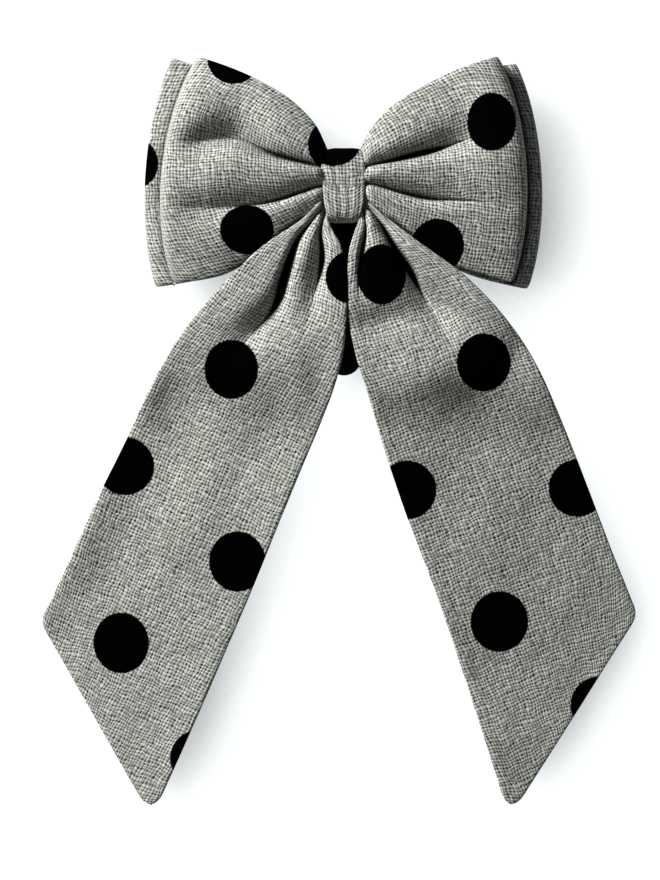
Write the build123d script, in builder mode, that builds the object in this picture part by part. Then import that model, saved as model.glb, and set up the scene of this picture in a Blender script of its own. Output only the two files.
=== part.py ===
"""A hair bow on a ribbon-lined alligator clip: two looped bows, a pair of long tails and a knot band.

Millimetres. +X is to the right as the front is seen, +Z is up and the front faces -Y.
The origin is on the head-side plane of the clip (y = 0), behind the middle of the knot.
"""

import os

from build123d import *

os.makedirs("parts", exist_ok=True)

# ---------------------------------------------------------------- driving dimensions
# Knot band and the stack of gathered cloth inside it, from the back to the front.
BAND_HALF_WIDTH = 7.0
BAND_HALF_HEIGHT = 12.5
BAND_THICK = 1.1
BAND_CORNER = 3.2
BAND_BACK_Y = -8.9
LAP_THICK = 0.8  # the end of the band laps over its start at the back
LAP_HALF_HEIGHT = 4.5
LAP_INSET = 0.2  # the lap is this much narrower than the band on each side
THREAD = 0.6  # diameter of the thread that ties the gathers
THREAD_TURNS = 5
REAR_WAIST = (-15.0, -10.9)  # front and back of each gathered waist
FRONT_WAIST = (-19.8, -15.4)
TAIL_WAIST = (-23.3, -19.9)
BAND_FRONT_Y = -25.3
WAIST_HALF_HEIGHT = 10.0

# Bow strips: cloth, interfacing, cloth.
CLOTH = 0.5
INTERFACING = 0.3
PLY_GAP = 0.08
SECTION_Z = (-34.0, 3.0, 44.0)  # heights of the three lofted sections of a loop
LOOP_ROOT = 0.2  # how far a loop reaches in behind the edge of the band
WAIST_PLAY = 0.1  # how much lower a gathered waist is than the opening for it, above and below
BEYOND = 100.0  # past the end of everything, for cuts

# Tails.
TAIL_Y = -27.4  # middle of a tail's thickness where it leaves the knot
TAIL_REST_Y = -4.0  # and at its lower end
TAIL_TOP_Z = -14.0
TAIL_BEND_Z = -42.0
TAIL_END_Z = -204.0
TAIL_DRAPE_RADIUS = 60.0
TAIL_GAP = 0.4  # between the two tails where they are closest
SEAM_INSET = 2.5  # the interfacing stops this far inside a tail's edge

# Alligator clip.
CLIP_WIDTH = 10.0
CLIP_TOP_Z = 10.2
CLIP_TIP_Z = -59.8
STEEL = 0.8
OUTER_JAW_Y = -6.4  # inner face of the outer jaw; the spring jaw's back is at y = 0
RIBBON = 0.4
HINGE_Y, HINGE_Z = -3.4, -9.0
PIN_RADIUS = 1.0
PIN_CLEARANCE = 0.05
EAR_RADIUS = 2.3
EAR_GAP = 0.15
PIN_HEAD_RADIUS = 1.7
PIN_HEAD = 0.6
PIN_HEAD_EDGE = 0.2
PIN_OVERHANG = 0.2  # how far the pin stands out of the ears on each side, inside its heads
SPRING_WIRE = 0.8
SPRING_RADIUS = 1.6
SPRING_TURNS = 4.5
SPRING_PITCH = 0.95
SPRING_LEG = 11.0
SPRING_LEANS = (2.0, -2.5)  # degrees each leg leans away from straight up
SPRING_KNUCKLE = 0.54 * SPRING_WIRE  # radius of the bend from the coil into a leg
JAW_CORNER = 2.5
TIP_ROUNDNESS = 0.998  # just short of a full half circle
JAW_BEND_Z = -50.0
JAW_TIP = (-5.2, -57.6)  # y and z of the bent tip's end
HANDLE_START_Z = HINGE_Z + 10.5
HANDLE_END = (4.9, CLIP_TOP_Z + 0.8)
SPRING_JAW_Z = (CLIP_TIP_Z + 1.2, CLIP_TOP_Z + 2.0)
TOOTH_COUNT = 4
TOOTH_PITCH = 1.7
TOOTH_GAP = (0.7, 3.0)  # width and depth
TOOTH_DROP = 1.0  # middle of the gaps below the end of the tip
GRIP_THICK = 0.4
GRIP_WIDTH = 7.5
GRIP_Z = (JAW_BEND_Z + 2.5, HINGE_Z - 5.5)
GRIP_CORNER = 1.5
FELT_SIZE = (21.0, 11.5)  # the patch between the clip and the knot, tall and wide


def write(part, label):
    """Labels a finished piece and writes it as one STEP file."""
    part.label = label
    export_step(part, f"parts/{label}.step")


# ---------------------------------------------------------------- bow loops
class Bow:
    """Driving numbers of one looped bow.
    Lists run over the lofted sections, from the lowest to the highest."""

    def __init__(self, waist, reach, crown, hollow, fold_y, top_corner, bottom_corner, top_bulge):
        self.waist = waist  # front and back of the gathered waist
        self.reach = reach  # how far out the folded end is
        self.crown = crown  # y of the front panel where it stands furthest forward
        self.hollow = hollow  # y of the back panel where it stands furthest back
        self.fold_y = fold_y  # middle of the folded end
        self.top_corner = top_corner
        self.bottom_corner = bottom_corner
        self.top_bulge = top_bulge  # a point on the curved top edge


FRONT_BOW = Bow(
    waist=FRONT_WAIST,
    reach=(53.6, 58.9, 46.8),
    crown=(-22.0, -28.5, -25.0),
    hollow=(-16.8, -16.2, -16.8),
    fold_y=-19.8,
    top_corner=(49.0, 41.6),
    bottom_corner=(56.0, -31.3),
    top_bulge=(19.5, 28.0),
)
REAR_BOW = Bow(
    waist=REAR_WAIST,
    reach=(58.9, 63.5, 53.4),
    crown=(-14.4, -14.8, -14.4),
    hollow=(-3.5, -1.6, -3.5),
    fold_y=-11.0,
    top_corner=(56.5, 40.2),
    bottom_corner=(61.5, -32.0),
    top_bulge=(21.0, 26.0),
)
FOLD_RADIUS = 2.4
CROWN_SHARE = 0.55  # how far along the loop its panels stand furthest apart


def leaf(bow, i, inset):
    """The plan of one loop at section i: front panel, folded end and back panel.
    It is drawn this far inside the loop's outer face."""
    reach = bow.reach[i] - inset
    start = BAND_HALF_WIDTH + inset
    crown_x = BAND_HALF_WIDTH + CROWN_SHARE * (bow.reach[i] - BAND_HALF_WIDTH)
    fold_start = bow.reach[i] - FOLD_RADIUS
    radius = FOLD_RADIUS - inset
    with BuildLine() as plan:
        ThreePointArc(
            (start, bow.waist[0] + inset),
            (crown_x, bow.crown[i] + inset),
            (fold_start, bow.fold_y - radius),
        )
        ThreePointArc(
            (fold_start, bow.fold_y - radius),
            (reach, bow.fold_y),
            (fold_start, bow.fold_y + radius),
        )
        ThreePointArc(
            (fold_start, bow.fold_y + radius),
            (crown_x, bow.hollow[i] - inset),
            (start, bow.waist[1] - inset),
        )
        Line((start, bow.waist[1] - inset), (start, bow.waist[0] + inset))
    make_face(plan.line)


def bow_edges(bow):
    """The front view of a bow: its top and bottom edges, with the ends left to the folds."""
    start = BAND_HALF_WIDTH - LOOP_ROOT
    with BuildLine() as edges:
        Line((0, WAIST_HALF_HEIGHT), (start, WAIST_HALF_HEIGHT))
        ThreePointArc((start, WAIST_HALF_HEIGHT), bow.top_bulge, bow.top_corner)
        Polyline(
            bow.top_corner,
            (BEYOND, bow.top_corner[1]),
            (BEYOND, bow.bottom_corner[1]),
            bow.bottom_corner,
        )
        Polyline(
            bow.bottom_corner,
            (start, -WAIST_HALF_HEIGHT),
            (0, -WAIST_HALF_HEIGHT),
            (0, WAIST_HALF_HEIGHT),
        )
    make_face(edges.line)


def bow_ply(bow, outer, inner, has_waist):
    """One layer of a bow strip: both loops between two insets.
    The outer cloth has the gathered waist as well."""
    with BuildPart() as ply:
        for i, z in enumerate(SECTION_Z):
            with BuildSketch(Plane.XY.offset(z)):
                leaf(bow, i, outer)
        loft()
        for i, z in enumerate(SECTION_Z):
            with BuildSketch(Plane.XY.offset(z)):
                leaf(bow, i, inner)
        loft(mode=Mode.SUBTRACT)
        with BuildSketch(Plane.XZ):
            bow_edges(bow)
        extrude(amount=BEYOND, both=True, mode=Mode.INTERSECT)
        mirror(about=Plane.YZ)
        if has_waist:
            with Locations((0, (bow.waist[0] + bow.waist[1]) / 2, 0)):
                Box(
                    2 * BAND_HALF_WIDTH,
                    bow.waist[1] - bow.waist[0],
                    2 * (WAIST_HALF_HEIGHT - WAIST_PLAY),
                )
    return ply.part


FACE = (0.0, CLOTH)
CORE = (CLOTH + PLY_GAP, CLOTH + PLY_GAP + INTERFACING)
LINING = (CORE[1] + PLY_GAP, CORE[1] + PLY_GAP + CLOTH)
for bow_name, bow_design in (("front_bow", FRONT_BOW), ("rear_bow", REAR_BOW)):
    write(bow_ply(bow_design, *FACE, has_waist=True), f"{bow_name}_face")
    write(bow_ply(bow_design, *CORE, has_waist=False), f"{bow_name}_interfacing")
    write(bow_ply(bow_design, *LINING, has_waist=False), f"{bow_name}_lining")

# ---------------------------------------------------------------- tails
LEFT_TAIL = {
    "neck_outer": (-18.4, TAIL_TOP_Z),
    "shoulder": (-42.0, -35.6),
    "outer_start": (-64.0, -67.6),
    "outer_corner": (-96.3, -138.2),
    "tip": (-61.0, -203.0),
    "inner_start": (-8.2, -75.5),
    "inner_bulge": (1.0 - TAIL_GAP, -41.0),
    "neck_inner": (-3.6, TAIL_TOP_Z),
}
RIGHT_TAIL = {
    "neck_outer": (18.4, TAIL_TOP_Z),
    "shoulder": (45.2, -35.0),
    "outer_start": (67.4, -70.2),
    "outer_corner": (94.0, -137.0),
    "tip": (52.5, -203.0),
    "inner_start": (10.3, -75.5),
    "inner_bulge": (1.0, -36.0),
    "neck_inner": (3.6, TAIL_TOP_Z),
}
CORNER_RADIUS = 3.0
TIP_RADIUS = 4.5


def tail_outline(points, inset):
    """The front view of a tail, a straight strip with a slanting end, drawn in to its gathered neck."""
    with BuildSketch(Plane.XY, mode=Mode.PRIVATE) as outline:
        with BuildLine():
            ThreePointArc(points["neck_outer"], points["shoulder"], points["outer_start"])
            Polyline(points["outer_start"], points["outer_corner"], points["tip"], points["inner_start"])
            ThreePointArc(points["inner_start"], points["inner_bulge"], points["neck_inner"])
            Line(points["neck_inner"], points["neck_outer"])
        make_face()
        lowest = outline.vertices().sort_by(Axis.Y)
        fillet(lowest[0], TIP_RADIUS)
        fillet(outline.vertices().sort_by(Axis.Y)[2], CORNER_RADIUS)
    if inset:
        add(offset(outline.sketch, amount=-inset, mode=Mode.PRIVATE))
    else:
        add(outline.sketch)


def drape(shift):
    """The side view of a tail: straight down from the knot, then leaning back towards its end."""
    return FilletPolyline(
        (TAIL_Y + shift, TAIL_TOP_Z + 1),
        (TAIL_Y + shift, TAIL_BEND_Z),
        (TAIL_REST_Y + shift, TAIL_END_Z),
        radius=TAIL_DRAPE_RADIUS,
    )


def tail_ply(points, front, back, inset=0.0):
    """One layer of a tail, between two shifts of its side view."""
    with BuildPart() as ply:
        with BuildSketch(Plane.YZ):
            with BuildLine():
                front_line = drape(front)
                back_line = drape(back)
                Line(front_line @ 0, back_line @ 0)
                Line(front_line @ 1, back_line @ 1)
            make_face()
        extrude(amount=BEYOND, both=True)
        with BuildSketch(Plane.XZ):
            tail_outline(points, inset)
        extrude(amount=BEYOND, both=True, mode=Mode.INTERSECT)
    return ply.part


HALF_CORE = INTERFACING / 2
for side, points in (("left", LEFT_TAIL), ("right", RIGHT_TAIL)):
    core_edge = HALF_CORE + PLY_GAP
    write(tail_ply(points, -core_edge - CLOTH, -core_edge), f"{side}_tail_face")
    write(tail_ply(points, -HALF_CORE, HALF_CORE, SEAM_INSET), f"{side}_tail_interfacing")
    write(tail_ply(points, core_edge, core_edge + CLOTH), f"{side}_tail_lining")

# The pleated middle of the tail strip: a block inside the band, and a wing out of each side of it.
WING_END = (-18.3, -12.8)
WING_THICK = (1.8, 1.6)  # at the knot and at the wing's end
WING_ROOT_Z = -1.5  # where its top edge leaves the knot
WING_FOOT_X = -9.2
WING_SHOULDER = (-11.5, -6.0)
GATHER_Z = (-9.9, 7.3)  # lowest and highest point of the block
with BuildPart() as tail_gather:
    with BuildSketch(Plane.XY.offset(-BEYOND / 2)):
        Polygon(
            (-BAND_HALF_WIDTH, TAIL_WAIST[0]),
            (-BAND_HALF_WIDTH, TAIL_WAIST[0] + WING_THICK[0]),
            (WING_END[0], TAIL_Y + WING_THICK[1] / 2),
            (WING_END[0], TAIL_Y - WING_THICK[1] / 2),
            align=None,
        )
    extrude(amount=BEYOND)
    with BuildSketch(Plane.XZ):
        Polygon(
            (-BAND_HALF_WIDTH, WING_ROOT_Z),
            (-BAND_HALF_WIDTH, GATHER_Z[0]),
            (WING_FOOT_X, WING_END[1]),
            WING_END,
            WING_SHOULDER,
            align=None,
        )
    extrude(amount=BEYOND, both=True, mode=Mode.INTERSECT)
    mirror(about=Plane.YZ)
    with Locations((0, (TAIL_WAIST[0] + TAIL_WAIST[1]) / 2, (GATHER_Z[0] + GATHER_Z[1]) / 2)):
        Box(2 * BAND_HALF_WIDTH, TAIL_WAIST[1] - TAIL_WAIST[0], GATHER_Z[1] - GATHER_Z[0])
write(tail_gather.part, "tail_gather")

# ---------------------------------------------------------------- knot
KNOT_MIDDLE_Y = (BAND_FRONT_Y + BAND_BACK_Y) / 2
KNOT_DEPTH = BAND_BACK_Y - BAND_FRONT_Y


def racetrack(depth, height, corner):
    """A rounded rectangle round the waist, in the plane across the bow."""
    with Locations((KNOT_MIDDLE_Y, 0)):
        RectangleRounded(depth, height, corner)


with BuildPart() as knot_band:
    with BuildSketch(Plane.YZ):
        racetrack(KNOT_DEPTH, 2 * BAND_HALF_HEIGHT, BAND_CORNER)
        offset(amount=-BAND_THICK, mode=Mode.SUBTRACT)
    extrude(amount=BAND_HALF_WIDTH, both=True)
    with Locations((0, BAND_BACK_Y + LAP_THICK / 2, 0)):
        Box(2 * (BAND_HALF_WIDTH - LAP_INSET), LAP_THICK, 2 * LAP_HALF_HEIGHT)
write(knot_band.part, "knot_band")

THREAD_ROOM = 0.06  # between the thread and what lies on each side of it
THREAD_PITCH = 1.5 * THREAD
with BuildPart() as binding_thread:
    for turn in range(THREAD_TURNS):
        x = (turn - (THREAD_TURNS - 1) / 2) * THREAD_PITCH
        with BuildSketch(Plane.YZ.offset(x - THREAD / 2)):
            inset = BAND_THICK + THREAD_ROOM
            racetrack(
                KNOT_DEPTH - 2 * inset, 2 * (BAND_HALF_HEIGHT - inset), BAND_CORNER - inset
            )
            offset(amount=-THREAD, mode=Mode.SUBTRACT)
        extrude(amount=THREAD)
write(binding_thread.part, "binding_thread")

FELT_GAP = 0.05  # between the patch and what lies on each side of it
FELT_BACK_Y = OUTER_JAW_Y - STEEL - RIBBON - 2 * FELT_GAP
FELT_FRONT_Y = BAND_BACK_Y + FELT_GAP
with BuildPart() as felt_patch:
    with BuildSketch(Plane.XZ.offset(-FELT_BACK_Y)):
        SlotOverall(*FELT_SIZE, rotation=90)
    extrude(amount=FELT_BACK_Y - FELT_FRONT_Y)
    with Locations((0, BAND_BACK_Y + LAP_THICK / 2, 0)):
        Box(
            2 * BAND_HALF_WIDTH,
            LAP_THICK + 2 * FELT_GAP,
            2 * (LAP_HALF_HEIGHT + FELT_GAP),
            mode=Mode.SUBTRACT,
        )
write(felt_patch.part, "felt_patch")


# ---------------------------------------------------------------- alligator clip
def jaw_plan(width, top_z, tip_z):
    """The front view of a jaw: a round tip and a top with rounded corners."""
    with BuildSketch(Plane.XY, mode=Mode.PRIVATE) as plan:
        with Locations((0, (top_z + tip_z) / 2)):
            Rectangle(width, top_z - tip_z)
        fillet(plan.vertices().group_by(Axis.Y)[0], TIP_ROUNDNESS * width / 2)
        fillet(plan.vertices().group_by(Axis.Y)[-1], JAW_CORNER)
    add(plan.sketch)


def ear(y_root):
    """The side view of an ear, from the plate it is bent from to round the pin."""
    with Locations((HINGE_Y, HINGE_Z)):
        Circle(EAR_RADIUS)
    with Locations(((HINGE_Y + y_root) / 2, HINGE_Z)):
        Rectangle(abs(y_root - HINGE_Y), 2 * EAR_RADIUS)
    with Locations((HINGE_Y, HINGE_Z)):
        Circle(PIN_RADIUS + PIN_CLEARANCE, mode=Mode.SUBTRACT)


OUTER_EAR_X = CLIP_WIDTH / 2 - STEEL
INNER_EAR_X = OUTER_EAR_X - EAR_GAP - STEEL

with BuildPart() as outer_jaw:
    with BuildSketch(Plane.XZ.offset(-OUTER_JAW_Y)):
        jaw_plan(CLIP_WIDTH, CLIP_TOP_Z, CLIP_TIP_Z)
    extrude(amount=STEEL)
    for x in (OUTER_EAR_X, -CLIP_WIDTH / 2):
        with BuildSketch(Plane.YZ.offset(x)):
            ear(OUTER_JAW_Y)
        extrude(amount=STEEL)
write(outer_jaw.part, "outer_jaw")

RIBBON_GAP = 0.05
RIBBON_OVERHANG = 0.6  # how far the ribbon is wider than the jaw on each side
RIBBON_END_GAP = 1.5  # from the ears to the end of the ribbon inside the jaw
with BuildPart() as jaw_ribbon:
    outside_y = OUTER_JAW_Y - STEEL - RIBBON_GAP
    inside_y = OUTER_JAW_Y + RIBBON_GAP
    ribbon_end_z = HINGE_Z - EAR_RADIUS - RIBBON_END_GAP
    with BuildSketch(Plane.XZ.offset(-inside_y - RIBBON)):
        jaw_plan(CLIP_WIDTH + 2 * RIBBON_OVERHANG, CLIP_TOP_Z, CLIP_TIP_Z - RIBBON - RIBBON_GAP)
    extrude(amount=inside_y - outside_y + 2 * RIBBON)
    with BuildSketch(Plane.YZ):
        with BuildLine():
            Polyline(
                (outside_y, CLIP_TOP_Z + 1),
                (outside_y, CLIP_TIP_Z - RIBBON_GAP),
                (inside_y, CLIP_TIP_Z - RIBBON_GAP),
                (inside_y, ribbon_end_z),
                (inside_y + 2 * RIBBON, ribbon_end_z),
                (inside_y + 2 * RIBBON, CLIP_TOP_Z + 1),
                close=True,
            )
        make_face()
    extrude(amount=CLIP_WIDTH, both=True, mode=Mode.SUBTRACT)
write(jaw_ribbon.part, "jaw_ribbon")

with BuildPart() as spring_jaw:
    # Side view: the flat jaw, its bent tip and the flared handle.
    with BuildSketch(Plane.YZ):
        with BuildLine():
            back = Polyline(
                JAW_TIP,
                (0, JAW_BEND_Z),
                (0, HANDLE_START_Z),
                HANDLE_END,
            )
            offset(back, amount=STEEL, side=Side.LEFT)
        make_face()
    extrude(amount=CLIP_WIDTH / 2, both=True)
    with BuildSketch(Plane.XZ):
        jaw_plan(CLIP_WIDTH, SPRING_JAW_Z[1], SPRING_JAW_Z[0])
    extrude(amount=BEYOND, both=True, mode=Mode.INTERSECT)
    for x in (INNER_EAR_X, -INNER_EAR_X - STEEL):
        with BuildSketch(Plane.YZ.offset(x)):
            ear(-STEEL / 2)
        extrude(amount=STEEL)
    # Teeth along the end of the bent tip.
    with BuildSketch(Plane.XZ):
        with Locations((0, JAW_TIP[1] - TOOTH_DROP)):
            with GridLocations(TOOTH_PITCH, 0, TOOTH_COUNT, 1):
                Rectangle(*TOOTH_GAP)
    extrude(amount=BEYOND, both=True, mode=Mode.SUBTRACT)
write(spring_jaw.part, "spring_jaw")

with BuildPart() as grip_strip:
    with BuildSketch(Plane.XZ.offset(STEEL + RIBBON_GAP)):
        with Locations((0, (GRIP_Z[0] + GRIP_Z[1]) / 2)):
            RectangleRounded(GRIP_WIDTH, GRIP_Z[1] - GRIP_Z[0], GRIP_CORNER)
    extrude(amount=GRIP_THICK)
write(grip_strip.part, "grip_strip")

with BuildPart() as hinge_pin:
    with Locations(Location((0, HINGE_Y, HINGE_Z), (0, 90, 0))):
        Cylinder(PIN_RADIUS, CLIP_WIDTH + 2 * PIN_OVERHANG)
    head_x = CLIP_WIDTH / 2 + EAR_GAP / 3 + PIN_HEAD / 2
    for x in (head_x, -head_x):
        with Locations(Location((x, HINGE_Y, HINGE_Z), (0, 90, 0))):
            Cylinder(PIN_HEAD_RADIUS, PIN_HEAD)
    rims = hinge_pin.edges().filter_by(GeomType.CIRCLE).group_by(Axis.X)
    fillet(rims[0] + rims[-1], PIN_HEAD_EDGE)
write(hinge_pin.part, "hinge_pin")

coil_height = SPRING_PITCH * SPRING_TURNS
coil_plane = Plane(
    origin=(-coil_height / 2, HINGE_Y, HINGE_Z), x_dir=(0, -1, 0), z_dir=(1, 0, 0)
)
coil = coil_plane * Helix(SPRING_PITCH, coil_height, SPRING_RADIUS)
with BuildPart() as torsion_spring:
    with BuildSketch(Plane(origin=coil @ 0, z_dir=coil % 0)):
        Circle(SPRING_WIRE / 2)
    sweep(path=coil)
    for end, lean in ((coil @ 0, SPRING_LEANS[0]), (coil @ 1, SPRING_LEANS[1])):
        leg_plane = Plane(origin=end, z_dir=(0, 0, 1)).rotated((lean, 0, 0))
        with BuildSketch(leg_plane):
            Circle(SPRING_WIRE / 2)
        extrude(amount=SPRING_LEG)
        with Locations(end):
            Sphere(SPRING_KNUCKLE)
write(torsion_spring.part, "torsion_spring")
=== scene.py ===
import math

import bpy
import numpy as np
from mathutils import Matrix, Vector, noise
from numpy.linalg import norm


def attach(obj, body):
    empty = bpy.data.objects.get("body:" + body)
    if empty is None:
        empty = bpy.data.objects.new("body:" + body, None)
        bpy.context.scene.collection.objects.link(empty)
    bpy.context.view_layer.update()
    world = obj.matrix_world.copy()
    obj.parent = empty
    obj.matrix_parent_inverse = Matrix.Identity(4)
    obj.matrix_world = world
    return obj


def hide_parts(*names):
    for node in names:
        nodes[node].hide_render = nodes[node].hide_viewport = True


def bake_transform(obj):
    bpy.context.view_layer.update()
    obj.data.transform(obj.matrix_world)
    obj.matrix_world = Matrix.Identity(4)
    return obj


# The looks of a hair bow: linen-weave cloth with printed dots, sewn two plies thick, on a black
# alligator clip.
# Lengths are in millimetres until a mesh is made. +X is right, +Z is up and the front faces -Y.

MM = 0.001
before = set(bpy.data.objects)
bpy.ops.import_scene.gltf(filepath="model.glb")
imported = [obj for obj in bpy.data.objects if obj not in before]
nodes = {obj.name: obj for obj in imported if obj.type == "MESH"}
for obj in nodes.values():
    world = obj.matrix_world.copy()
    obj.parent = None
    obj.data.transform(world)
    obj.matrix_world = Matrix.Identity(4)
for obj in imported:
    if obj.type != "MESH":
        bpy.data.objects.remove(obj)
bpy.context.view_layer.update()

THREAD_PITCH = 1.12  # from one thread to the next
PLY_THICKNESS = 1.5  # two cloths with interfacing between them
SEAM_SWELL = 0.14  # how much prouder the turned edges stand
SEAM_INSET = 2.6  # how far inside an edge the swell is highest
SEAM_SPREAD = 1.5  # how far it reaches to both sides of there


# ---------------------------------------------------------------- camera, light and stage
PHOTO_SCALE = 0.3206  # millimetres to a pixel of the 660 x 880 picture, at the front of the bow
PICTURE_HEIGHT = 880 * PHOTO_SCALE
VIEW_CENTRE = (-4.5, -81.1)
FOCUS_Y = -16.0  # the plane where that scale holds
LENS, SENSOR = 150.0, 36.0
CLIP_RANGE = (0.05, 20.0)  # metres
FLOOR_Z, FLOOR_HALF = -300.0, 1500.0
BACKDROP_Y, BACKDROP_HALF, BACKDROP_TOP = 5.4, 700.0, 700.0
GLOW_COLOUR = (0.955, 0.99, 1.0, 1.0)
# The glowing paper is shaded by what lies over it, within this reach, on the key light's side of a spot.
SHADE_REACH = 34.0
SHADE_TOWARDS = (-0.8, -0.4, 0.45)
SHADE_RANGE = (0.34, 0.86)  # the share of open sky where it is darkest, and where it is unshaded
SHADE_DEEPEST = 0.02  # the share of its glow that the darkest spot keeps
PAPER_GRAIN = 0.995  # the darkest of its grain
LIGHT_AIM = (0, 0, -0.06)  # metres
LIGHTS = [  # name, place and width in metres, watts, colour
    ("key", (-1.5, -1.02, 1.1), 0.68, 190, (1.0, 0.995, 0.98)),
    ("fill", (0.7, -1.2, -0.3), 1.0, 4.5, (0.95, 0.98, 1.0)),
    ("rear", (0.1, 0.9, 0.5), 0.8, 12, (1.0, 1.0, 1.0)),
]
WORLD_COLOUR, WORLD_STRENGTH = (0.93, 0.97, 1.0, 1), 0.09
VIEW_GAMMA = 0.92


def add_camera():
    data = bpy.data.cameras.new("camera")
    data.lens = LENS
    data.sensor_width = SENSOR
    camera = bpy.data.objects.new("camera", data)
    distance = PICTURE_HEIGHT * LENS / SENSOR
    camera.location = Vector((VIEW_CENTRE[0], FOCUS_Y - distance, VIEW_CENTRE[1])) * MM
    camera.rotation_euler = (math.pi / 2, 0, 0)
    data.clip_start, data.clip_end = CLIP_RANGE
    bpy.context.scene.collection.objects.link(camera)
    bpy.context.scene.camera = camera


def add_area_light(name, place, size, power, colour):
    data = bpy.data.lights.new(name, "AREA")
    data.shape = "DISK"
    data.size = size
    data.energy = power
    data.color = colour
    light = bpy.data.objects.new(name, data)
    light.location = place
    light.rotation_euler = (Vector(LIGHT_AIM) - Vector(place)).to_track_quat("-Z", "Y").to_euler()
    bpy.context.scene.collection.objects.link(light)


def add_plane(name, corners):
    mesh = bpy.data.meshes.new(name)
    mesh.from_pydata([Vector(c) * MM for c in corners], [], [(0, 1, 2, 3)])
    plane = bpy.data.objects.new(name, mesh)
    bpy.context.scene.collection.objects.link(plane)
    return plane


# ---------------------------------------------------------------- material helpers
class Paint:
    """A node material under construction: most calls add one node and return its output."""

    def __init__(self, name, roughness, **fixed):
        self.material = bpy.data.materials.new(name)
        self.material.use_nodes = True
        self.tree = self.material.node_tree
        self.shader = self.tree.nodes["Principled BSDF"]
        self.shader.inputs["Roughness"].default_value = roughness
        for socket, value in fixed.items():
            self.shader.inputs[socket.replace("_", " ")].default_value = value

    def plug(self, socket, value):
        if isinstance(value, bpy.types.NodeSocket):
            self.tree.links.new(value, socket)
        else:
            socket.default_value = value

    def new(self, kind, **settings):
        made = self.tree.nodes.new("ShaderNode" + kind)
        for key, value in settings.items():
            setattr(made, key, value)
        return made

    def node(self, kind, output=0, settings=None, **inputs):
        made = self.new(kind, **(settings or {}))
        for key, value in inputs.items():
            self.plug(made.inputs[key.replace("_", " ")], value)
        return made.outputs[output]

    def math(self, operation, *values):
        made = self.new("Math", operation=operation)
        for socket, value in zip(made.inputs, values):
            self.plug(socket, value)
        return made.outputs[0]

    def times(self, a, b):
        return self.math("MULTIPLY", a, b)

    def plus(self, a, b):
        return self.math("ADD", a, b)

    def minus(self, a, b):
        return self.math("SUBTRACT", a, b)

    def noise(self, vector, scale, detail=2.0, roughness=0.5):
        return self.node("TexNoise", Vector=vector, Scale=scale, Detail=detail, Roughness=roughness)

    def scaled(self, vector, by, operation="MULTIPLY"):
        made = self.new("VectorMath", operation=operation)
        self.plug(made.inputs[0], vector)
        made.inputs[1].default_value = by
        return made.outputs[0]

    def moved(self, vector, by):
        return self.scaled(vector, by, "ADD")

    def ramp(self, value, low, high, low_to=0.0, high_to=1.0):
        made = self.new("MapRange")
        for socket, number in zip(list(made.inputs)[:5], (value, low, high, low_to, high_to)):
            self.plug(socket, number)
        return made.outputs[0]

    def mix(self, share, a, b, blend="MIX"):
        made = self.new("Mix", data_type="RGBA", blend_type=blend)
        self.plug(made.inputs[0], share)
        self.plug(made.inputs[6], a)
        self.plug(made.inputs[7], b)
        return made.outputs[2]

    def surface(self, colour=None, height=None, depth_mm=0.1, strength=1.0, roughness=None):
        if colour is not None:
            self.plug(self.shader.inputs["Base Color"], colour)
        if roughness is not None:
            self.plug(self.shader.inputs["Roughness"], roughness)
        if height is not None:
            bump = self.node("Bump", Strength=strength, Distance=depth_mm * MM, Height=height)
            self.plug(self.shader.inputs["Normal"], bump)
        return self.material


def grey(value):
    return (value, value, value, 1.0)


# ---------------------------------------------------------------- materials
def centred(paint, value, amount):
    """A noise value moved to lie round zero and scaled."""
    return paint.times(paint.minus(value, 0.5), amount)


def parts_of(paint, vector):
    split = paint.new("SeparateXYZ")
    paint.plug(split.inputs[0], vector)
    return split.outputs


def object_place(paint):
    return paint.node("TexCoord", output=3)


# The threads wander: the scale of the noise, and how many threads it moves them by.
OWN_WANDER = (1.0, 1.4)
SHARED_WANDER = (0.16, 1.8)  # slower, and shared by neighbouring threads
OWN_STRETCH = (0.5, 0.1)  # of the noise, across a thread and along it
WEFT_OFFSET = 40.0  # takes the weft's noise from another place than the warp's
SLUB_STRETCH = (0.95, 0.07)
CROWN_POWER = 0.95  # how full a thread's rounded top is
PIT_POWER = 1.9  # how tightly a pit keeps to the gap between its four threads
PIT_RANDOM = (0.25, 1.5)  # how much the smallest and the largest pit count


def cell_noise(paint, a, b, step):
    """One random number for each thread crossing, or for each gap between crossings."""
    whole = paint.node("CombineXYZ", X=paint.math(step, a), Y=paint.math(step, b))
    return paint.node("TexWhiteNoise", settings={"noise_dimensions": "2D"}, Vector=whole)


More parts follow.
